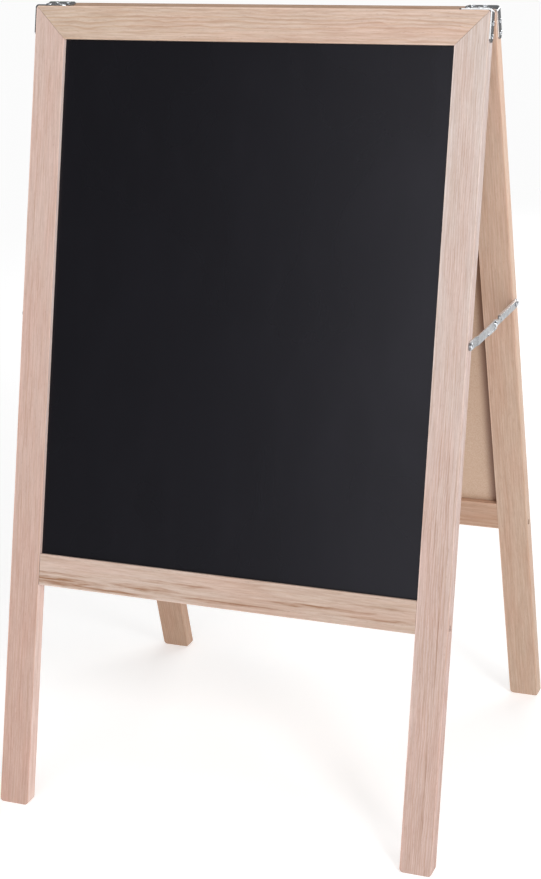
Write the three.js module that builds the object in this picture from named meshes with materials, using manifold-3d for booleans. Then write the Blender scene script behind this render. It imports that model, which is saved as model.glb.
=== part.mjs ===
// Free-standing menu chalkboard easel: two mitred wooden frames with chalkboard panels, joined at
// the top corners by wrap-over hinges and held open by a folding brace on each side.
// Millimetres, X to the right seen from the front, the front faces -Y, +Z up.
// Origin: on the floor, at the centre of the footprint.
//
// Each frame is drawn as it stands when the easel is folded flat, facing -Y, with its zero on the
// hinge pin, and its group then leans it open. The back frame is the same frame turned round.
import * as THREE from 'three';
import * as BufferGeometryUtils from 'three/addons/utils/BufferGeometryUtils.js';
import Module from 'manifold-3d';

const wasm = await Module();
wasm.setup();

// ---------------------------------------------------------------- driving dimensions

const lean = THREE.MathUtils.degToRad(14);   // each frame leans this far from the vertical
const gap = 0.3;                             // between pieces that touch
const closedGap = 0.8;                       // between the two frames when folded flat

const frame = {
  width: 610,
  length: 1060,          // along the middle of a stile, top edge to floor
  thickness: 18,
  member: 42,            // width of stiles and rails
  bottomRailTop: 718.5,  // below the top edge
  topCorner: 3.5,        // eased outer corners at the top
  footCorner: 5,         // eased corners of the feet
};

const board = {
  thickness: 3.2,
  recess: 6.7,           // its writing face, behind the face of the frame
  tongue: 6,             // how far its edges reach into the groove
};

const hinge = {
  plate: 1.6,            // sheet thickness
  topArm: 40,            // along the top edge, from the corner
  sideArm: 37.5,         // down the side, from the corner
  width: 12.5,
  setback: 0.6,          // from the outer face of the frame to the leaf
  bend: 4,               // outside radius of the bend over the corner
  endCut: 3.5,           // clipped corners at the arm ends
  screws: [15, 30.5],    // screw places on each arm, from the corner
  pinRise: 3,            // pin centre above the top edges
  pinRadius: 1.25,
  pinHeadRadius: 1.9,
  pinHeadLength: 0.9,
  boreRadius: 1.65,
  barrelRadius: 2.7,
  barrelStart: 300,      // outer end of the barrel, from the middle of the easel
  knuckles: 3,
  knuckle: 8,
  tabReach: 1.2,         // the plate runs into the barrel as far as this from the pin's middle
};

const brace = {
  pivotDepth: 401,       // below the top edge of each frame
  width: 12,
  sheet: 1.5,
  flange: 2.4,           // how far the back arm's turned edge stands out
  neckEnd: 20,           // the back arm is narrow from the elbow to here
  neckTop: 1.1,
  lug: [8, 17],          // stop lug of the front arm, resting over the neck
  lugHeight: 1.5,
  lip: [-36, 1],         // turned lower edge of the front arm
  lipFlange: 1.2,        // how far the lip stands out
  lipHeight: 1.1,
  turnedEdge: [20, 99],  // turned upper edge of the back arm
  joggle: [-86, -80],    // the front arm steps out from the stile here
  pierce: { along: 31, up: -2, radius: 1.5 },
};

const rivet = { radius: 1.9, headRadius: 4, headHeight: 2 };

const leafScrew = { head: 3, rise: 1.5, shank: 1.4, length: 13, point: 3, slot: 3.4 };
const braceScrew = { head: 4.2, rise: 2.2, shank: 1.9, length: 16, point: 4, slot: 4.6 };
const railScrew = { head: 3.6, rise: 2.4, shank: 1.8, length: 52, point: 4, slot: 4.2 };
const railScrewHole = { radius: 4.2, depth: 8, below: 749 };   // below the top edge
const slotWidth = 0.9;

// ---------------------------------------------------------------- derived values

const halfWidth = frame.width / 2;
const halfInner = halfWidth - frame.member;
const innerFace = closedGap / 2;                        // from the middle plane, folded flat
const outerFace = innerFace + frame.thickness;
const middle = innerFace + frame.thickness / 2;

const top = -hinge.pinRise;                             // heights in a frame, from the pin
const foot = top - frame.length;
const railTop = top - frame.bottomRailTop;
const railBottom = railTop - frame.member;
const railScrewHeight = top - railScrewHole.below;
const pivotHeight = top - brace.pivotDepth;

const pinHeight = -foot * Math.cos(lean) - middle * Math.sin(lean);
const armLength = middle * Math.cos(lean) - pivotHeight * Math.sin(lean);
const elbowHeight = pinHeight + middle * Math.sin(lean) + pivotHeight * Math.cos(lean);

const leafOuter = outerFace - hinge.setback;
const leafInner = leafOuter - hinge.width;
const leafMiddle = (leafOuter + leafInner) / 2;
const barrelEnd = hinge.barrelStart - hinge.knuckles * hinge.knuckle;

// Brace sheets, out from the face of the stile: the inner layer and the outer one.
const innerLayer = [gap, gap + brace.sheet];
const outerLayer = [innerLayer[1] + gap, innerLayer[1] + gap + brace.sheet];

// ---------------------------------------------------------------- materials

const material = (color, roughness, metalness) =>
  new THREE.MeshStandardMaterial({ color, roughness, metalness });

const wood = material(0xd6b8a0, 0.6, 0);
const chalkboard = material(0x222326, 0.75, 0);
const zinc = material(0xb9bcbd, 0.32, 1);

// ---------------------------------------------------------------- solids

// A closed three.js geometry as a manifold solid.
function solid(geometry) {
  const plain = geometry.clone();
  plain.deleteAttribute('normal');
  plain.deleteAttribute('uv');
  const merged = BufferGeometryUtils.mergeVertices(plain, 1e-5);
  const corners = merged.index.array;
  const triangles = [];
  for (let i = 0; i < corners.length; i += 3) {
    const [a, b, c] = corners.slice(i, i + 3);
    const isFlat = a === b || b === c || c === a;
    if (!isFlat) triangles.push(a, b, c);
  }
  return new wasm.Manifold(new wasm.Mesh({
    numProp: 3,
    vertProperties: new Float32Array(merged.attributes.position.array),
    triVerts: new Uint32Array(triangles),
  }));
}

// A manifold solid as a geometry to show.
function surface(manifold) {
  const mesh = manifold.getMesh();
  const geometry = new THREE.BufferGeometry();
  geometry.setAttribute('position', new THREE.BufferAttribute(mesh.vertProperties, 3));
  geometry.setIndex(new THREE.BufferAttribute(mesh.triVerts, 1));
  geometry.computeVertexNormals();
  return geometry;
}

// A block between two opposite corners, given in any order.
function block(first, second) {
  const a = new THREE.Vector3(...first);
  const b = new THREE.Vector3(...second);
  const size = b.clone().sub(a);
  const centre = a.clone().add(b).multiplyScalar(0.5);
  const geometry = new THREE.BoxGeometry(Math.abs(size.x), Math.abs(size.y), Math.abs(size.z));
  return solid(geometry.translate(centre.x, centre.y, centre.z));
}

function rodAlongX(fromX, toX, y, z, radius, sides) {
  const geometry = new THREE.CylinderGeometry(radius, radius, Math.abs(toX - fromX), sides);
  geometry.rotateZ(Math.PI / 2);
  return solid(geometry.translate((fromX + toX) / 2, y, z));
}

function rodAlongZ(fromZ, toZ, x, y, radius, sides) {
  const geometry = new THREE.CylinderGeometry(radius, radius, Math.abs(toZ - fromZ), sides);
  geometry.rotateX(Math.PI / 2);
  return solid(geometry.translate(x, y, (fromZ + toZ) / 2));
}

// An outline in two axes, extruded along the third between two places.
const cyclic = new THREE.Matrix4().makeBasis(
  new THREE.Vector3(0, 1, 0), new THREE.Vector3(0, 0, 1), new THREE.Vector3(1, 0, 0));

function extrude(plane, points, from, to) {
  const shape = new THREE.Shape(points.map(([u, v]) => new THREE.Vector2(u, v)));
  const low = Math.min(from, to);
  const depth = Math.abs(to - from);
  const geometry = new THREE.ExtrudeGeometry(shape, { depth, bevelEnabled: false });
  if (plane === 'XY') geometry.translate(0, 0, low);
  if (plane === 'XZ') geometry.rotateX(Math.PI / 2).translate(0, low + depth, 0);
  if (plane === 'YZ') geometry.applyMatrix4(cyclic).translate(low, 0, 0);
  return geometry;
}

// Points on a round stretch of an outline, angles in degrees.
function arc(centreU, centreV, radius, fromAngle, toAngle, steps) {
  return Array.from({ length: steps + 1 }, (_, step) => {
    const angle = THREE.MathUtils.degToRad(fromAngle + (toAngle - fromAngle) * step / steps);
    return [centreU + radius * Math.cos(angle), centreV + radius * Math.sin(angle)];
  });
}

function acrossX(points, side) {
  return points.map(([u, v]) => [side * u, v]);
}

// ---------------------------------------------------------------- wooden frame

// The panel's space, with the gap round it: what the groove takes out of the frame.
const boardLeft = -(halfInner + board.tongue);
const boardTop = top - frame.member + board.tongue;
const boardBottom = railTop - board.tongue;
const boardFace = -outerFace + board.recess;
const groove = block(
  [boardLeft - gap, boardFace - gap, boardBottom - gap],
  [-boardLeft + gap, boardFace + board.thickness + gap, boardTop + gap]);

// The foot's end is slanted so that it lies flat on the floor when the frame leans.
function levelFoot(geometry) {
  const places = geometry.attributes.position;
  for (let i = 0; i < places.count; i += 1) {
    if (places.getZ(i) > foot / 2) continue;
    places.setZ(i, places.getZ(i) + (places.getY(i) + middle) * Math.tan(lean));
  }
  return geometry;
}

function stile(side) {
  const topCentre = halfWidth - frame.topCorner;
  const mitreAngle = 45 - THREE.MathUtils.radToDeg(Math.asin(gap / frame.topCorner));
  const outline = [
    ...arc(halfInner + frame.footCorner, foot + frame.footCorner, frame.footCorner, 180, 270, 4),
    ...arc(halfWidth - frame.footCorner, foot + frame.footCorner, frame.footCorner, 270, 360, 4),
    ...arc(topCentre, top - frame.topCorner, frame.topCorner, 0, mitreAngle, 3),
    [halfInner, top - frame.member - gap * Math.SQRT2],
  ];
  const outer = side * halfWidth;
  const holeEnd = side * (halfWidth - railScrewHole.depth);
  const bar = extrude('XZ', acrossX(outline, side), -outerFace, -innerFace);
  let piece = solid(levelFoot(bar)).subtract(groove)
    .subtract(rodAlongX(holeEnd, outer + side, -middle, railScrewHeight, railScrewHole.radius, 16))
    .subtract(rodAlongX(side * (halfInner - 1), outer, -middle, railScrewHeight,
      railScrew.shank + gap, 10))
    .subtract(rodAlongX(side * (halfWidth - braceScrew.length), outer + side, -middle, pivotHeight,
      braceScrew.shank + gap, 10));
  for (const place of hinge.screws) {
    piece = piece.subtract(rodAlongX(side * (halfWidth - leafScrew.length), outer + side,
      -leafMiddle, top - place, leafScrew.shank + gap, 8));
  }
  return piece;
}

function topRail() {
  const topCentre = halfWidth - frame.topCorner;
  const outline = [
    [halfInner, top - frame.member],
    ...arc(topCentre, top - frame.topCorner, frame.topCorner, 45, 90, 3),
    ...arc(-topCentre, top - frame.topCorner, frame.topCorner, 90, 135, 3),
    [-halfInner, top - frame.member],
  ];
  let piece = solid(extrude('XZ', outline, -outerFace, -innerFace)).subtract(groove);
  for (const side of [-1, 1]) {
    for (const place of hinge.screws) {
      piece = piece.subtract(rodAlongZ(top + 1, top - leafScrew.length,
        side * (halfWidth - place), -leafMiddle, leafScrew.shank + gap, 8));
    }
  }
  return piece;
}

function bottomRail() {
  const end = halfInner - gap;
  const holeEnd = halfWidth - railScrewHole.depth - railScrew.length;
  let piece = block([-end, -outerFace, railBottom], [end, -innerFace, railTop]).subtract(groove);
  for (const side of [-1, 1]) {
    piece = piece.subtract(rodAlongX(side * holeEnd, side * halfInner, -middle, railScrewHeight,
      railScrew.shank + gap, 10));
  }
  return piece;
}

function panel() {
  return block([boardLeft, boardFace, boardBottom],
    [-boardLeft, boardFace + board.thickness, boardTop]);
}

// ---------------------------------------------------------------- hinges

// One leaf wraps over a top corner: an arm along the top, an arm down the side, and its knuckles.
function leaf(side, ownKnuckles) {
  const low = top + gap;
  const high = low + hinge.plate;
  const near = halfWidth + gap;
  const far = near + hinge.plate;
  const armEnd = halfWidth - hinge.topArm;
  const armFoot = top - hinge.sideArm;
  const cut = hinge.endCut;
  const profile = [
    [far, armFoot],
    ...arc(far - hinge.bend, high - hinge.bend, hinge.bend, 0, 90, 6),
    [armEnd, high],
    [armEnd, low],
    ...arc(far - hinge.bend, high - hinge.bend, hinge.bend - hinge.plate, 90, 0, 6),
    [near, armFoot],
  ];
  const planOutline = [
    [far + 1, -leafOuter], [armEnd + cut, -leafOuter], [armEnd, -leafOuter + cut],
    [armEnd, -leafInner - cut], [armEnd + cut, -leafInner], [far + 1, -leafInner],
  ];
  const sideOutline = [
    [-leafOuter, high + 1], [-leafOuter, armFoot + cut], [-leafOuter + cut, armFoot],
    [-leafInner - cut, armFoot], [-leafInner, armFoot + cut], [-leafInner, high + 1],
  ];
  let piece = solid(extrude('XZ', acrossX(profile, side), -leafOuter, -leafInner))
    .intersect(solid(extrude('XY', acrossX(planOutline, side), armFoot - 1, high + 1)))
    .intersect(solid(extrude('YZ', sideOutline, side * (armEnd - 1), side * (far + 1))));
  for (const index of ownKnuckles) {
    const start = side * (hinge.barrelStart - index * hinge.knuckle);
    const end = start - side * (hinge.knuckle - gap);
    piece = piece.add(rodAlongX(start, end, 0, 0, hinge.barrelRadius, 16))
      .add(block([start, -leafInner - 1, low], [end, -hinge.tabReach, high]));
  }
  piece = piece.subtract(rodAlongX(side * (barrelEnd - 1), side * (hinge.barrelStart + 1), 0, 0,
    hinge.boreRadius, 12));
  for (const place of hinge.screws) {
    piece = piece
      .subtract(rodAlongZ(low - 1, high + 1, side * (halfWidth - place), -leafMiddle,
        leafScrew.shank + gap, 10))
      .subtract(rodAlongX(side * (near - 1), side * (far + 1), -leafMiddle, top - place,
        leafScrew.shank + gap, 10));
  }
  return piece;
}

function hingePin(side) {
  const outerEnd = hinge.barrelStart + gap;
  const innerEnd = barrelEnd - gap;
  const head = hinge.pinHeadLength;
  return rodAlongX(side * innerEnd, side * outerEnd, 0, 0, hinge.pinRadius, 10)
    .add(rodAlongX(side * outerEnd, side * (outerEnd + head), 0, 0, hinge.pinHeadRadius, 14))
    .add(rodAlongX(side * innerEnd, side * (innerEnd - head), 0, 0, hinge.pinHeadRadius, 14));
}

// ---------------------------------------------------------------- screws and rivets

// Turned about +Y, zero under the head, with a cross slot at a given twist.
function screw(spec, twist) {
  const { head, rise, shank, length, point, slot } = spec;
  const profile = [
    [0, -length], [shank, point - length], [shank, 0], [head, 0],
    [head, rise * 0.4], [head * 0.8, rise * 0.8], [head * 0.45, rise], [0, rise],
  ];
  const turned = new THREE.LatheGeometry(profile.map(([r, h]) => new THREE.Vector2(r, h)), 14);
  const slotFloor = rise * 0.35;
  const cross = [[slotWidth, slot], [slot, slotWidth]].map(([x, z]) =>
    block([-x / 2, slotFloor, -z / 2], [x / 2, rise + 1, z / 2]));
  const piece = solid(turned).subtract(cross[0]).subtract(cross[1]);
  return surface(piece).rotateY(THREE.MathUtils.degToRad(twist));
}

function rivetBody() {
  const base = outerLayer[1] + gap;
  const profile = [
    [0, innerLayer[0]], [rivet.radius, innerLayer[0]], [rivet.radius, base],
    [rivet.headRadius, base], [rivet.headRadius * 0.9, base + rivet.headHeight * 0.45],
    [rivet.headRadius * 0.6, base + rivet.headHeight * 0.85], [0, base + rivet.headHeight],
  ];
  const turned = new THREE.LatheGeometry(profile.map(([r, h]) => new THREE.Vector2(r, h)), 16);
  return surface(solid(turned));
}

// ---------------------------------------------------------------- folding brace

// Zero at the elbow on the face of the stile, Y towards the back, open and straight.
function frontArm(side) {
  const half = brace.width / 2;
  const [joggleStart, joggleEnd] = brace.joggle;
  const startY = -armLength - half - 1;
  const endY = brace.lug[1] + 1;
  const outline = [
    ...arc(-armLength, 0, half, 90, 270, 10),
    ...arc(0, 0, half, -90, 90, 10),
  ];
  const steps = [
    [innerLayer[0], startY], [innerLayer[0], joggleStart], [outerLayer[0], joggleEnd],
    [outerLayer[0], endY], [outerLayer[1], endY], [outerLayer[1], joggleEnd],
    [innerLayer[1], joggleStart], [innerLayer[1], startY],
  ];
  const lugLow = brace.neckTop + gap;
  const lugHigh = lugLow + brace.lugHeight;
  const lipOut = side * (outerLayer[1] + brace.lipFlange);
  return solid(extrude('YZ', outline, 0, side * (outerLayer[1] + 1)))
    .intersect(solid(extrude('XY', acrossX(steps, side), -half - 1, half + 1)))
    .add(block([side * outerLayer[0], 0, lugLow], [side * outerLayer[1], brace.lug[1], lugHigh]))
    .add(block([side * innerLayer[0], brace.lug[0], lugLow],
      [side * outerLayer[1], brace.lug[1], lugHigh]))
    .add(block([side * outerLayer[0], brace.lip[0], -half],
      [lipOut, brace.lip[1], -half + brace.lipHeight]))
    .subtract(rodAlongX(0, lipOut, 0, 0, rivet.radius + gap, 14))
    .subtract(rodAlongX(0, lipOut, -armLength, 0, braceScrew.shank + gap, 14));
}

function backArm(side) {
  const half = brace.width / 2;
  const outline = [
    [brace.neckEnd, -half],
    ...arc(armLength, 0, half, -90, 90, 10),
    [brace.neckEnd, half],
  ];
  const [near, far] = innerLayer.map((x) => side * x);
  const edgeOut = side * (innerLayer[1] + brace.flange);
  const { along, up, radius } = brace.pierce;
  return solid(extrude('YZ', outline, near, far))
    .add(rodAlongX(near, far, 0, 0, half, 20))
    .add(block([near, 0, -half], [far, brace.neckEnd, brace.neckTop]))
    .add(block([near, brace.turnedEdge[0], half - brace.sheet],
      [edgeOut, brace.turnedEdge[1], half]))
    .subtract(rodAlongX(0, edgeOut, 0, 0, rivet.radius + gap, 14))
    .subtract(rodAlongX(0, edgeOut, along, up, radius, 12))
    .subtract(rodAlongX(0, edgeOut, armLength, 0, braceScrew.shank + gap, 14));
}

// ---------------------------------------------------------------- assembly

const easel = new THREE.Group();
const sideName = (side) => (side < 0 ? 'left' : 'right');

function addMesh(parent, name, geometry, look, place = [0, 0, 0], turn = [0, 0, 0]) {
  const mesh = new THREE.Mesh(geometry, look);
  mesh.name = name;
  mesh.position.set(...place);
  mesh.rotation.set(...turn);
  parent.add(mesh);
}

// Screws stand out of a side edge or out of the top edge.
const outOfSide = (side) => [0, 0, -side * Math.PI / 2];
const outOfTop = [Math.PI / 2, 0, 0];

// facing 1 is the front frame. In the back frame, turned round, left and right change places.
function addFrame(name, facing) {
  const group = new THREE.Group();
  group.position.z = pinHeight;
  group.rotation.set(-facing * lean, 0, facing > 0 ? 0 : Math.PI);
  easel.add(group);

  addMesh(group, `${name}_rail_top`, surface(topRail()), wood);
  addMesh(group, `${name}_rail_bottom`, surface(bottomRail()), wood);
  addMesh(group, `${name}_board`, surface(panel()), chalkboard);
  for (const side of [-1, 1]) {
    const label = sideName(side * facing);
    addMesh(group, `${name}_stile_${label}`, surface(stile(side)), wood);
    addMesh(group, `${name}_rail_screw_${label}`, screw(railScrew, 25 * side), zinc,
      [side * (halfWidth - railScrewHole.depth + gap), -middle, railScrewHeight], outOfSide(side));
    addLeaf(group, `hinge_${label}_${name}`, side, facing);
  }
  return group;
}

function addLeaf(group, name, side, facing) {
  const ownKnuckles = facing > 0 ? [0, 2] : [1];
  addMesh(group, `${name}_leaf`, surface(leaf(side, ownKnuckles)), zinc);
  hinge.screws.forEach((place, index) => {
    const twist = 35 + 50 * index + 20 * side;
    addMesh(group, `${name}_screw_top_${index + 1}`, screw(leafScrew, twist), zinc,
      [side * (halfWidth - place), -leafMiddle, top + hinge.plate + 2 * gap], outOfTop);
    addMesh(group, `${name}_screw_side_${index + 1}`, screw(leafScrew, twist + 15), zinc,
      [side * (halfWidth + hinge.plate + 2 * gap), -leafMiddle, top - place], outOfSide(side));
  });
}

function addBrace(side, frontFrame) {
  const name = `brace_${sideName(side)}`;
  const seat = innerLayer[1] + gap;
  const group = new THREE.Group();
  group.position.set(side * halfWidth, 0, elbowHeight);
  easel.add(group);

  addMesh(group, `${name}_arm_front`, surface(frontArm(side)), zinc);
  addMesh(group, `${name}_arm_back`, surface(backArm(side)), zinc);
  addMesh(group, `${name}_rivet`, rivetBody(), zinc, [0, 0, 0], outOfSide(side));
  addMesh(frontFrame, `${name}_screw_front`, screw(braceScrew, 10 * side), zinc,
    [side * (halfWidth + seat), -middle, pivotHeight], outOfSide(side));
  // The back end screw rides on the back arm, so its shank stops at the face of the stile.
  const riding = { ...braceScrew, length: seat - gap, point: 0 };
  addMesh(group, `${name}_screw_back`, screw(riding, 70), zinc,
    [side * seat, armLength, 0], outOfSide(side));
}

const frontFrame = addFrame('front', 1);
addFrame('back', -1);
for (const side of [-1, 1]) {
  const pinGroup = new THREE.Group();
  pinGroup.position.z = pinHeight;
  easel.add(pinGroup);
  addMesh(pinGroup, `hinge_${sideName(side)}_pin`, surface(hingePin(side)), zinc);
  addBrace(side, frontFrame);
}

export default easel;
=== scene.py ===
"""Looks for a wooden A-frame chalkboard easel: hardwood frames, matte black boards, zinc-plated hardware."""

import math
from collections import namedtuple

import bpy
from mathutils import Matrix, Vector


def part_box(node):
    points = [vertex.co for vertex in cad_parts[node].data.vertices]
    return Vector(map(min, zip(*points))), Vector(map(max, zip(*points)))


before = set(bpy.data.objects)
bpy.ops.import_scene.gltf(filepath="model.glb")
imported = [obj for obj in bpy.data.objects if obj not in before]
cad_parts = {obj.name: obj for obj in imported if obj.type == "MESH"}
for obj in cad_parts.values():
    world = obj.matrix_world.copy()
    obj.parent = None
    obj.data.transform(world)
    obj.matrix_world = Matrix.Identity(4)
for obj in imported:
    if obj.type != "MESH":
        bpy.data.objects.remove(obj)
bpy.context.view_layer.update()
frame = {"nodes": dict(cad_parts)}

MM = 0.001

# ---------------------------------------------------------------- the frames' own directions

LEAN = math.radians(14.0)
SIDEWAYS = Vector((1.0, 0.0, 0.0))
BACKWARDS = Vector((0.0, 1.0, 0.0))
UPWARDS = Vector((0.0, 0.0, 1.0))
FRONT, BACK = -1, 1


def up_the_frame(facing):
    """The direction from the feet to the hinge of the frame that stands on the facing side."""
    return Vector((0.0, -facing * math.sin(LEAN), math.cos(LEAN)))


def out_of_the_frame(facing):
    """The direction that the frame's outer face looks in."""
    return Vector((0.0, facing * math.cos(LEAN), math.sin(LEAN)))


def facing_of(name):
    return FRONT if "front" in name else BACK


def centre_of(name):
    low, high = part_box(name)
    return (low + high) / 2


# ---------------------------------------------------------------- shader graphs


class Graph:
    """One material and its nodes. The calls that work out a value return the socket that carries it."""

    def __init__(self, name):
        self.material = bpy.data.materials.new(name)
        self.material.use_nodes = True
        self.tree = self.material.node_tree
        self.tree.nodes.clear()
        self.shader = self.tree.nodes.new("ShaderNodeBsdfPrincipled")
        output = self.tree.nodes.new("ShaderNodeOutputMaterial")
        self.tree.links.new(self.shader.outputs["BSDF"], output.inputs["Surface"])

    def feed(self, socket, value):
        if isinstance(value, bpy.types.NodeSocket):
            self.tree.links.new(value, socket)
        else:
            socket.default_value = value

    def node(self, kind, inputs=(), **settings):
        made = self.tree.nodes.new("ShaderNode" + kind)
        for name, value in settings.items():
            setattr(made, name, value)
        for key, value in dict(inputs).items():
            self.feed(made.inputs[key], value)
        return made

    def object_point(self):
        return self.node("TexCoord").outputs["Object"]

    def object_normal(self):
        return self.node("TexCoord").outputs["Normal"]

    def math(self, operation, *values):
        return self.node("Math", dict(enumerate(values)), operation=operation).outputs[0]

    def vector_math(self, operation, first, second):
        return self.node("VectorMath", {0: first, 1: second}, operation=operation).outputs[0]

    def vector(self, x, y, z):
        return self.node("CombineXYZ", {0: x, 1: y, 2: z}).outputs[0]

    def along(self, point, direction):
        """How far a point lies in a direction."""
        made = self.node("VectorMath", {0: point, 1: direction}, operation="DOT_PRODUCT")
        return made.outputs["Value"]

    def noise(self, point, detail=2.0, roughness=0.5, distortion=0.0):
        """Smooth noise around 0.5, with features about one unit wide."""
        inputs = {
            "Vector": point,
            "Scale": 1.0,
            "Detail": detail,
            "Roughness": roughness,
            "Distortion": distortion,
        }
        return self.node("TexNoise", inputs).outputs["Fac"]

    def step(self, value, low, high, to_low=0.0, to_high=1.0):
        """Turns a value smoothly from to_low, at low, to to_high, at high."""
        inputs = {
            "Value": value,
            "From Min": low,
            "From Max": high,
            "To Min": to_low,
            "To Max": to_high,
        }
        return self.node("MapRange", inputs, interpolation_type="SMOOTHSTEP").outputs["Result"]

    def mix(self, amount, first, second, blend="MIX"):
        """Colour between first, at amount 0, and second, at amount 1."""
        made = self.node("Mix", data_type="RGBA", blend_type=blend)
        self.feed(made.inputs["Factor"], amount)
        self.feed(made.inputs[6], first)
        self.feed(made.inputs[7], second)
        return made.outputs[2]

    def dye(self, amount, colour, tint):
        """Multiplies a colour by a tint."""
        return self.mix(amount, colour, (*tint, 1.0), "MULTIPLY")

    def bump(self, height, depth):
        return self.node("Bump", {"Height": height, "Distance": depth, "Strength": 1.0}).outputs["Normal"]

    def surface(self, **sockets):
        """Sets or links the shader's own sockets, named with _ for a space."""
        for name, value in sockets.items():
            self.feed(self.shader.inputs[name.replace("_", " ")], value)
        return self.material


def linear(red, green, blue):
    """The linear colour of an sRGB colour given as 0 to 255."""

    def one(value):
        value /= 255
        return value / 12.92 if value <= 0.04045 else ((value + 0.055) / 1.055) ** 2.4

    return (one(red), one(green), one(blue), 1.0)


def shade(colour, by):
    return tuple(channel * by for channel in colour) + (1.0,)


# ---------------------------------------------------------------- wood

# The growth rings: how far the heart of the tree lies to the side and how deep, how wide a year is and how
# far the rings wander, in mm, and their contrast.
Rings = namedtuple("Rings", "aside depth spacing waviness contrast")

# A dark mineral streak: its middle along and across the member, from the member's own middle, its half
# length and half width, in mm, and its strength.
Streak = namedtuple("Streak", "along across half_length half_width strength")

# One wooden member: its colours at its lower or left end and at its other end, the painted light and shade
# tint of its side faces, its rings, the seed that moves it to a place of its own in the noise, and its
# streaks.
Member = namedtuple("Member", "low_end high_end side_tint rings seed streaks", defaults=((),))

# What each feature multiplies the colour of the wood by: all darken it but the rubbed edges, which are partly
# sanded lighter and partly a painted highlight.
FIBRE_TINT = (0.84, 0.81, 0.79)
RING_TINT = (0.80, 0.67, 0.55)
VEIN_TINT = (0.94, 0.91, 0.88)
CLOUD_TINT = (1.0, 0.92, 0.90)
FINE_TINT = (0.80, 0.68, 0.58)
PORE_TINT = (0.50, 0.40, 0.34)
STREAK_TINT = (0.54, 0.34, 0.19)
END_GRAIN_TINT = (0.62, 0.53, 0.45)
RUBBED_AND_HIGHLIGHT_TINT = (1.22, 1.22, 1.22)

GRAIN_DEPTH = 0.12 * MM

# Between these a face turns from not counting to counting as one that looks in a given direction.
FACING_STARTS, FACING_ENDS = 0.8, 0.95

# The rubbed edges, partly sanded lighter and partly a painted highlight, begin and are fully lightened this
# far from a member's middle line, in mm.
RUBBED_AND_HIGHLIGHT_STARTS, RUBBED_AND_HIGHLIGHT_ENDS = 19.0, 20.4

PLAIN = (1.0, 1.0, 1.0)
STILE_RINGS = Rings(170.0, 40.0, 3.4, 9.0, 0.35)
RAIL_RINGS = Rings(6.0, 34.0, 6.6, 34.0, 1.5)
MEMBERS = {
    "front_stile_left": Member(
        linear(201, 172, 161), linear(210, 188, 180), (1.08, 1.20, 1.28), STILE_RINGS, 1.0
    ),
    "front_stile_right": Member(
        linear(198, 174, 166),
        linear(207, 195, 191),
        (0.90, 0.89, 0.90),
        Rings(-150.0, 30.0, 3.0, 16.0, 0.55),
        2.0,
        (
            Streak(-150, 8, 190, 1.6, 0.55),
            Streak(-40, -4, 120, 1.2, 0.4),
            Streak(-430, 4, 80, 2.0, 0.5),
            Streak(-470, -9, 60, 1.6, 0.4),
        ),
    ),
    "front_rail_top": Member(
        linear(206, 186, 170), linear(208, 187, 174), PLAIN, Rings(40.0, 24.0, 4.4, 26.0, 0.75), 3.0
    ),
    "front_rail_bottom": Member(
        linear(204, 185, 174),
        linear(193, 173, 160),
        PLAIN,
        Rings(-4.0, 26.0, 4.2, 18.0, 0.5),
        4.0,
        (
            Streak(-230, 11, 80, 5.4, 1.0),
            Streak(-180, 17, 110, 2.6, 0.9),
            Streak(-235, 3, 60, 2.0, 0.7),
            Streak(-105, 8, 60, 4.6, 0.9),
            Streak(-60, -3, 70, 2.8, 0.8),
            Streak(10, 13, 90, 2.6, 0.8),
            Streak(140, 3, 100, 3.0, 0.9),
            Streak(212, 9, 60, 2.2, 0.8),
            Streak(215, -6, 50, 1.6, 0.5),
        ),
    ),
    "back_stile_left": Member(linear(187, 159, 139), linear(187, 159, 139), PLAIN, STILE_RINGS, 5.0),
    "back_stile_right": Member(
        linear(190, 167, 150), linear(211, 186, 169), PLAIN, Rings(160.0, 36.0, 3.6, 8.0, 0.35), 6.0
    ),
    "back_rail_top": Member(linear(198, 172, 153), linear(198, 172, 153), PLAIN, RAIL_RINGS, 7.0),
    "back_rail_bottom": Member(
        linear(190, 160, 140), linear(190, 160, 140), PLAIN, Rings(5.0, 30.0, 4.0, 18.0, 0.5), 8.0
    ),
}


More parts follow.
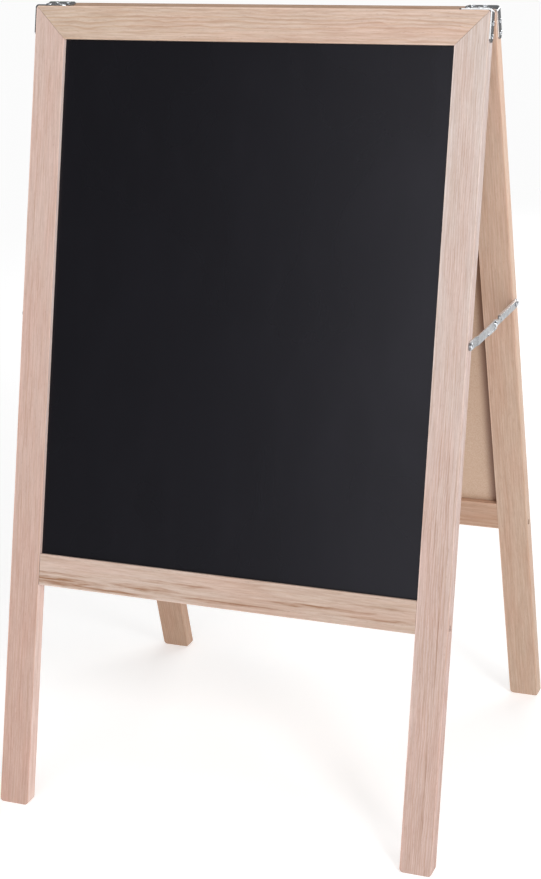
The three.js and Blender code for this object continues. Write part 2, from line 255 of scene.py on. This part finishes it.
def wood(name, grain, face, centre, length, member):
    """Sanded hardwood. grain runs along the piece, whose length is in mm; its outer face looks along face."""
    seed, rings = member.seed, member.rings
    g = Graph(name)
    across_way = grain.cross(face)
    point = g.vector_math("SUBTRACT", g.object_point(), centre)

    # Places in the piece, in mm from its middle: u along the grain, v across it, w towards the outer face.
    u, v, w = (g.math("MULTIPLY", g.along(point, way), 1 / MM) for way in (grain, across_way, face))

    def cells(length, width, shift=0.0):
        """A point for noise whose features are length long and width wide, in mm."""
        return g.vector(
            g.math("MULTIPLY_ADD", u, 1 / length, seed * 7.31 + shift),
            g.math("MULTIPLY_ADD", v, 1 / width, seed * 3.17),
            g.math("MULTIPLY_ADD", w, 1 / width, seed * 1.73),
        )

    def swing(noise, size):
        """Turns noise into a displacement of up to half of size either way."""
        return g.math("MULTIPLY_ADD", noise, size, -size / 2)

    wander = swing(g.noise(cells(190.0, 60.0)), rings.waviness)
    ripple = swing(g.noise(cells(36.0, 14.0, 5.0)), rings.waviness * 0.3)
    sideways = g.math("ADD", g.math("SUBTRACT", v, rings.aside), g.math("ADD", wander, ripple))
    inward = g.math("ADD", w, rings.depth)
    squares = g.math("ADD", g.math("POWER", sideways, 2.0), g.math("POWER", inward, 2.0))
    years = g.math("DIVIDE", g.math("SQRT", squares), rings.spacing)
    season = g.math("FRACT", years)
    late = g.math("MULTIPLY", g.step(season, 0.35, 0.82), g.step(season, 0.86, 1.0, 1.0, 0.0))
    uneven = g.noise(g.vector(g.math("MULTIPLY", years, 0.43), seed * 2.9, 0.0), detail=1.0)
    ring = g.math("MULTIPLY", late, g.step(uneven, 0.3, 0.7, 0.25, 1.0))

    fibre = g.noise(cells(42.0, 2.1), detail=3.0, roughness=0.6)
    fine = g.noise(cells(15.0, 0.55, 2.0), roughness=0.6)
    cloud = g.noise(cells(120.0, 26.0, 8.0))
    vein = g.noise(cells(80.0, 3.6, 9.0), detail=1.0)
    pore = g.step(g.noise(cells(5.0, 0.34, 4.0), detail=0.0), 0.66, 0.76)
    pore = g.math("MULTIPLY", pore, g.step(season, 0.0, 0.5, 1.0, 0.25))

    colour = g.mix(g.step(u, -length / 2, length / 2), member.low_end, member.high_end)
    colour = g.dye(g.step(fibre, 0.25, 0.75, 0.8 + 0.4 * rings.contrast, 0.0), colour, FIBRE_TINT)
    colour = g.dye(g.math("MULTIPLY", ring, rings.contrast), colour, RING_TINT)
    colour = g.dye(g.step(vein, 0.42, 0.72), colour, VEIN_TINT)
    colour = g.dye(g.step(cloud, 0.36, 0.72, 0.0, 0.7), colour, CLOUD_TINT)
    colour = g.dye(g.step(fine, 0.3, 0.62, 0.4, 0.0), colour, FINE_TINT)
    colour = g.dye(g.math("MULTIPLY", pore, 0.5), colour, PORE_TINT)

    for streak in member.streaks:
        bend = swing(g.noise(cells(30.0, 9.0, streak.along)), streak.half_width * 1.8)
        far_u = g.math("DIVIDE", g.math("SUBTRACT", u, streak.along), streak.half_length)
        bent_v = g.math("ADD", g.math("SUBTRACT", v, streak.across), bend)
        far_v = g.math("DIVIDE", bent_v, streak.half_width)
        far = g.math("ADD", g.math("POWER", far_u, 2.0), g.math("POWER", far_v, 2.0))
        fade = g.step(far, 0.2, 1.0, streak.strength, 0.0)
        mark = g.math("MULTIPLY", fade, g.step(fibre, 0.3, 0.62, 1.0, 0.35))
        colour = g.dye(mark, colour, STREAK_TINT)

    # Painted light and shade: the member's tint lightens the left front stile's side faces and darkens the
    # right's.
    side_face = g.math("ABSOLUTE", g.along(g.object_normal(), across_way))
    colour = g.dye(g.step(side_face, FACING_STARTS, FACING_ENDS), colour, member.side_tint)
    # Rubbed edges: partly sanded wear, partly a painted highlight along the arrises, lightening the colour.
    rubbed_and_highlight = g.step(g.math("ABSOLUTE", v), RUBBED_AND_HIGHLIGHT_STARTS, RUBBED_AND_HIGHLIGHT_ENDS, 0.0, 0.8)
    colour = g.dye(rubbed_and_highlight, colour, RUBBED_AND_HIGHLIGHT_TINT)
    end_grain = g.math("ABSOLUTE", g.along(g.object_normal(), grain))
    colour = g.dye(g.step(end_grain, FACING_STARTS, FACING_ENDS, 0.0, 0.6), colour, END_GRAIN_TINT)

    height = g.math("ADD", g.math("MULTIPLY", fibre, 0.5), g.math("MULTIPLY", fine, 0.35))
    height = g.math("SUBTRACT", height, g.math("MULTIPLY", pore, 0.8))
    return g.surface(
        Base_Color=colour,
        Roughness=g.step(fibre, 0.2, 0.8, 0.66, 0.52),
        Specular_IOR_Level=0.3,
        Normal=g.bump(height, GRAIN_DEPTH),
    )


# ---------------------------------------------------------------- boards

PAINT_LOW, PAINT_HIGH = (0.0020, 0.0019, 0.0031, 1.0), (0.0040, 0.0038, 0.0056, 1.0)
WIPE_COLOUR = (0.0065, 0.0061, 0.0085, 1.0)
DUST_COLOUR = (0.013, 0.013, 0.014, 1.0)
PAINT_SHEEN = (0.90, 0.88, 1.0, 1.0)
BARE_LOW, BARE_HIGH = linear(187, 159, 137), linear(200, 176, 156)
BLOTCH_COLOUR = linear(192, 164, 141)
RIM_SHADE_COLOUR = linear(118, 84, 66)
PAINT_DEPTH = 0.06 * MM

# Painted shade: the bare face darkens between these distances from its middle, out towards the stiles, in
# metres.
RIM_SHADE_STARTS, RIM_SHADE_ENDS = 0.246, 0.261


def board(name, facing, centre):
    """Hardboard painted matte black on its outer face; its inner face is bare, tan and faintly mottled, with
    painted shade by the stiles.
    """
    g = Graph(name)
    point = g.vector_math("SUBTRACT", g.object_point(), centre)

    def cells(size, stretch=1.0):
        """A point for noise whose features are size wide, in metres, and 1 / stretch times as high."""
        return g.vector_math("MULTIPLY", point, (1 / size, 1 / size, stretch / size))

    outer = g.step(g.along(point, out_of_the_frame(facing)), 0.2 * MM, 0.4 * MM)
    smudge = g.noise(cells(0.16, 0.6), detail=3.0, roughness=0.55, distortion=0.6)
    dust = g.noise(cells(0.0021), roughness=0.7)
    wipe = g.noise(cells(0.03, 0.18))
    black = g.mix(g.step(smudge, 0.35, 0.75), PAINT_LOW, PAINT_HIGH)
    black = g.mix(g.step(wipe, 0.45, 0.8, 0.0, 0.25), black, WIPE_COLOUR)
    black = g.mix(g.step(dust, 0.6, 0.8, 0.0, 0.35), black, DUST_COLOUR)

    chip = g.noise(cells(0.0014), roughness=0.6)
    blotch = g.noise(cells(0.09))
    bare = g.mix(g.step(chip, 0.3, 0.72), BARE_LOW, BARE_HIGH)
    bare = g.mix(g.step(blotch, 0.35, 0.7, 0.0, 0.4), bare, BLOTCH_COLOUR)
    # Painted shade: the bare face turns dark brown beside the stiles, where their recess walls shade it.
    rim_shade = g.step(g.math("ABSOLUTE", g.along(point, SIDEWAYS)), RIM_SHADE_STARTS, RIM_SHADE_ENDS, 0.0, 0.85)
    bare = g.mix(rim_shade, bare, RIM_SHADE_COLOUR)

    height = g.mix(outer, g.math("MULTIPLY", chip, 0.6), dust)
    return g.surface(
        Base_Color=g.mix(outer, bare, black),
        Roughness=g.step(smudge, 0.3, 0.75, 0.28, 0.25),
        Specular_IOR_Level=0.26,
        Specular_Tint=PAINT_SHEEN,
        Normal=g.bump(height, PAINT_DEPTH),
    )


# ---------------------------------------------------------------- zinc

ZINC_LIGHT, ZINC_DARK = (0.33, 0.34, 0.355), (0.26, 0.27, 0.285)
ZINC_LINES, ZINC_GRIT = (0.43, 0.44, 0.45), (0.20, 0.20, 0.20)
EDGE_HIGHLIGHT_LOW, EDGE_HIGHLIGHT_HIGH = (0.84, 0.85, 0.86, 1.0), (0.92, 0.93, 0.94, 1.0)
ZINC_DEPTH = 0.012 * MM
SEED_STEP = 1.37


def zinc(name, seed, brushed, polish, highlight_way):
    """Zinc plating, drawn along the brushed direction, with faint dull clouds. polish brightens it.

    The last argument, where it isn't None, is the direction that edges with a painted highlight look in: they
    are painted near white and made rougher.
    """
    g = Graph(name)
    point = g.object_point()

    def scaled(vector, factor):
        return g.vector_math("MULTIPLY", vector, (factor,) * 3)

    shrink = g.math("MULTIPLY", g.along(point, brushed), -0.97)
    pulled = g.node("VectorMath", {0: brushed, "Scale": shrink}, operation="SCALE").outputs[0]
    squeezed = g.vector_math("ADD", point, pulled)
    lines = g.noise(scaled(squeezed, 2600.0), roughness=0.6)
    shifted = g.vector_math("ADD", point, (seed, seed, seed))
    cloud = g.noise(scaled(shifted, 95.0))
    grit = g.step(g.noise(scaled(shifted, 1500.0), detail=1.0), 0.62, 0.78)
    colour = g.mix(g.step(cloud, 0.35, 0.7), shade(ZINC_LIGHT, polish), shade(ZINC_DARK, polish))
    colour = g.mix(g.math("MULTIPLY", lines, 0.35), colour, shade(ZINC_LINES, polish))
    colour = g.mix(g.math("MULTIPLY", grit, 0.4), colour, shade(ZINC_GRIT, polish))
    roughness = g.math("ADD", g.step(cloud, 0.3, 0.7, 0.16, 0.26), g.math("MULTIPLY", lines, 0.1))
    if highlight_way:
        # Painted highlight: the edges that look along the given direction are painted near white and made
        # rougher.
        edge_highlight = g.step(g.math("ABSOLUTE", g.along(g.object_normal(), highlight_way)), 0.75, 0.92)
        colour = g.mix(edge_highlight, colour, g.mix(lines, EDGE_HIGHLIGHT_LOW, EDGE_HIGHLIGHT_HIGH))
        roughness = g.math("MULTIPLY_ADD", edge_highlight, 0.22, roughness)
    return g.surface(
        Base_Color=colour,
        Metallic=1.0,
        Roughness=roughness,
        Normal=g.bump(g.math("SUBTRACT", lines, grit), ZINC_DEPTH),
    )


# ---------------------------------------------------------------- shape finish: eased edges, smooth curves

SHARP_ANGLE = math.radians(40)


def smoothing_group():
    """Drops the imported normals and shades the mesh smooth except across its sharp edges."""
    group = bpy.data.node_groups.new("smooth_by_angle", "GeometryNodeTree")
    group.interface.new_socket("Geometry", in_out="INPUT", socket_type="NodeSocketGeometry")
    group.interface.new_socket("Geometry", in_out="OUTPUT", socket_type="NodeSocketGeometry")
    nodes, links = group.nodes, group.links
    start, end = nodes.new("NodeGroupInput"), nodes.new("NodeGroupOutput")
    drop = nodes.new("GeometryNodeRemoveAttribute")
    drop.inputs["Name"].default_value = "custom_normal"
    faces = nodes.new("GeometryNodeSetShadeSmooth")
    faces.domain = "FACE"
    faces.inputs["Shade Smooth"].default_value = True
    angle = nodes.new("GeometryNodeInputMeshEdgeAngle")
    small = nodes.new("FunctionNodeCompare")
    small.operation = "LESS_EQUAL"
    small.inputs[1].default_value = SHARP_ANGLE
    edges = nodes.new("GeometryNodeSetShadeSmooth")
    edges.domain = "EDGE"
    links.new(start.outputs[0], drop.inputs["Geometry"])
    links.new(drop.outputs["Geometry"], faces.inputs["Geometry"])
    links.new(angle.outputs["Unsigned Angle"], small.inputs[0])
    links.new(faces.outputs["Geometry"], edges.inputs["Geometry"])
    links.new(small.outputs[0], edges.inputs["Shade Smooth"])
    links.new(edges.outputs["Geometry"], end.inputs[0])
    return group


SMOOTHING = smoothing_group()


def ease_edges(piece, width, segments):
    """Welds the piece, merges its flat faces, rounds its sharp edges by width and shades it smooth."""
    weld = piece.modifiers.new("weld", "WELD")
    weld.merge_threshold = 0.01 * MM
    flat = piece.modifiers.new("flat", "DECIMATE")
    flat.decimate_type = "DISSOLVE"
    flat.angle_limit = math.radians(0.5)
    bevel = piece.modifiers.new("eased", "BEVEL")
    bevel.width = width
    bevel.segments = segments
    bevel.limit_method = "ANGLE"
    bevel.angle_limit = SHARP_ANGLE
    bevel.miter_outer = "MITER_ARC"
    smooth = piece.modifiers.new("smooth", "NODES")
    smooth.node_group = SMOOTHING
    weigh = piece.modifiers.new("weigh", "WEIGHTED_NORMAL")
    weigh.keep_sharp = True


def paint(piece, material):
    for slot in piece.material_slots:
        slot.material = material


# ---------------------------------------------------------------- the pieces

nodes = frame["nodes"]

for name, member in MEMBERS.items():
    facing = facing_of(name)
    grain = SIDEWAYS if "rail" in name else up_the_frame(facing)
    low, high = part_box(name)
    length = (high - low).length / MM
    paint(nodes[name], wood("wood_" + name, grain, out_of_the_frame(facing), centre_of(name), length, member))
    ease_edges(nodes[name], 1.1 * MM, 3)

for name in ("front_board", "back_board"):
    paint(nodes[name], board("chalk_" + name, facing_of(name), centre_of(name)))

# The hinge leaves and brace arms are dull sheet metal, whose edges get a painted highlight on the right side
# only.
# Screws, pins and rivets are brighter.
for number, (name, piece) in enumerate(sorted(nodes.items())):
    if not name.startswith(("hinge", "brace")) and "screw" not in name:
        continue
    arm, leaf = "arm" in name, "leaf" in name
    highlight_way = None
    if "right" in name and arm:
        highlight_way = UPWARDS
    elif "right" in name and leaf:
        highlight_way = out_of_the_frame(facing_of(name))
    brushed = BACKWARDS if arm else SIDEWAYS
    polish, easing, segments = (1.0, 0.5 * MM, 3) if arm or leaf else (2.1, 0.2 * MM, 2)
    paint(piece, zinc("zinc_" + name, number * SEED_STEP, brushed, polish, highlight_way))
    ease_edges(piece, easing, segments)

# ---------------------------------------------------------------- floor, light and camera

ROOM_GLOW, BACKDROP, FLOOR_GLOW = 0.31, 0.97, 0.38
FLOOR_REACH, FADE_START = 4.0, 1.8
FLOOR_LOW, FLOOR_HIGH = (0.85, 0.85, 0.85, 1.0), (0.87, 0.87, 0.87, 1.0)
BLACK, WHITE = (0.0, 0.0, 0.0, 1.0), (1.0, 1.0, 1.0, 1.0)
AIM = Vector((0.0, 0.0, 0.6))

# Each soft box: its name, place, size and power. All look at AIM.
SOFT_BOXES = (
    ("front_box", (0.65, -4.2, 1.5), (4.0, 2.9), 72.0),
    ("key_box", (2.5, -2.4, 2.5), (0.8, 0.8), 44.0),
    ("right_box", (3.1, -1.3, 1.2), (1.2, 1.6), 32.0),
    ("back_box", (0.5, 3.8, 1.75), (4.2, 0.9), 75.0),
    ("top_box", (-0.6, -0.45, 3.4), (1.3, 1.3), 12.0),
)

CAMERA_PLACE = Vector((0.93236, -2.27603, 1.28349))
CAMERA_YAW, CAMERA_PITCH, CAMERA_ROLL = (math.radians(angle) for angle in (22.369, 18.581, 1.944))
CAMERA_LENS = 78.73
SENSOR_WIDTH = 36.0


def floor():
    """A pale floor that fades into the backdrop, so that no edge shows."""
    mesh = bpy.data.meshes.new("floor")
    half = FLOOR_REACH
    corners = [(-half, -half, 0), (half, -half, 0), (half, half, 0), (-half, half, 0)]
    mesh.from_pydata(corners, [], [(0, 1, 2, 3)])
    made = bpy.data.objects.new("floor", mesh)
    bpy.context.scene.collection.objects.link(made)
    g = Graph("pale_floor")
    point = g.object_point()
    mottle = g.noise(g.vector_math("MULTIPLY", point, (3.0, 3.0, 3.0)))
    colour = g.mix(mottle, FLOOR_LOW, FLOOR_HIGH)
    distance = g.node("VectorMath", {0: point}, operation="LENGTH").outputs["Value"]
    away = g.step(distance, FADE_START, FLOOR_REACH)
    glow = g.math("MULTIPLY_ADD", away, BACKDROP - FLOOR_GLOW, FLOOR_GLOW)
    mesh.materials.append(g.surface(
        Base_Color=g.mix(away, colour, BLACK),
        Roughness=0.9,
        Specular_IOR_Level=0.0,
        Emission_Color=WHITE,
        Emission_Strength=glow,
    ))


def soft_box(name, place, size, power):
    data = bpy.data.lights.new(name, "AREA")
    data.shape = "RECTANGLE"
    data.size, data.size_y = size
    data.energy = power
    made = bpy.data.objects.new(name, data)
    made.location = place
    made.rotation_euler = (AIM - Vector(place)).to_track_quat("-Z", "Y").to_euler()
    bpy.context.scene.collection.objects.link(made)


def studio():
    """A pale room that the camera sees as an even, nearly white backdrop, with its soft boxes."""
    scene = bpy.context.scene
    scene.view_settings.view_transform = "Standard"
    world = bpy.data.worlds.new("studio")
    world.use_nodes = True
    scene.world = world
    tree = world.node_tree
    seen = tree.nodes.new("ShaderNodeLightPath")
    strength = tree.nodes.new("ShaderNodeMix")
    strength.inputs[2].default_value = ROOM_GLOW
    strength.inputs[3].default_value = BACKDROP
    tree.links.new(seen.outputs["Is Camera Ray"], strength.inputs["Factor"])
    tree.links.new(strength.outputs[0], tree.nodes["Background"].inputs["Strength"])
    tree.nodes["Background"].inputs["Color"].default_value = WHITE
    for box in SOFT_BOXES:
        soft_box(*box)


def camera():
    """Stands to the right of the front, above it, and looks down and to the left, very slightly rolled."""
    ahead = Vector((
        -math.sin(CAMERA_YAW) * math.cos(CAMERA_PITCH),
        math.cos(CAMERA_YAW) * math.cos(CAMERA_PITCH),
        -math.sin(CAMERA_PITCH),
    ))
    level = Vector((math.cos(CAMERA_YAW), math.sin(CAMERA_YAW), 0.0))
    down = ahead.cross(level)
    right = level * math.cos(CAMERA_ROLL) + down * math.sin(CAMERA_ROLL)
    up = level * math.sin(CAMERA_ROLL) - down * math.cos(CAMERA_ROLL)
    data = bpy.data.cameras.new("camera")
    data.lens = CAMERA_LENS
    data.sensor_width = SENSOR_WIDTH
    made = bpy.data.objects.new("camera", data)
    turn = Matrix((right, up, -ahead)).transposed().to_4x4()
    made.matrix_world = Matrix.Translation(CAMERA_PLACE) @ turn
    bpy.context.scene.collection.objects.link(made)
    bpy.context.scene.camera = made


floor()
studio()
camera()
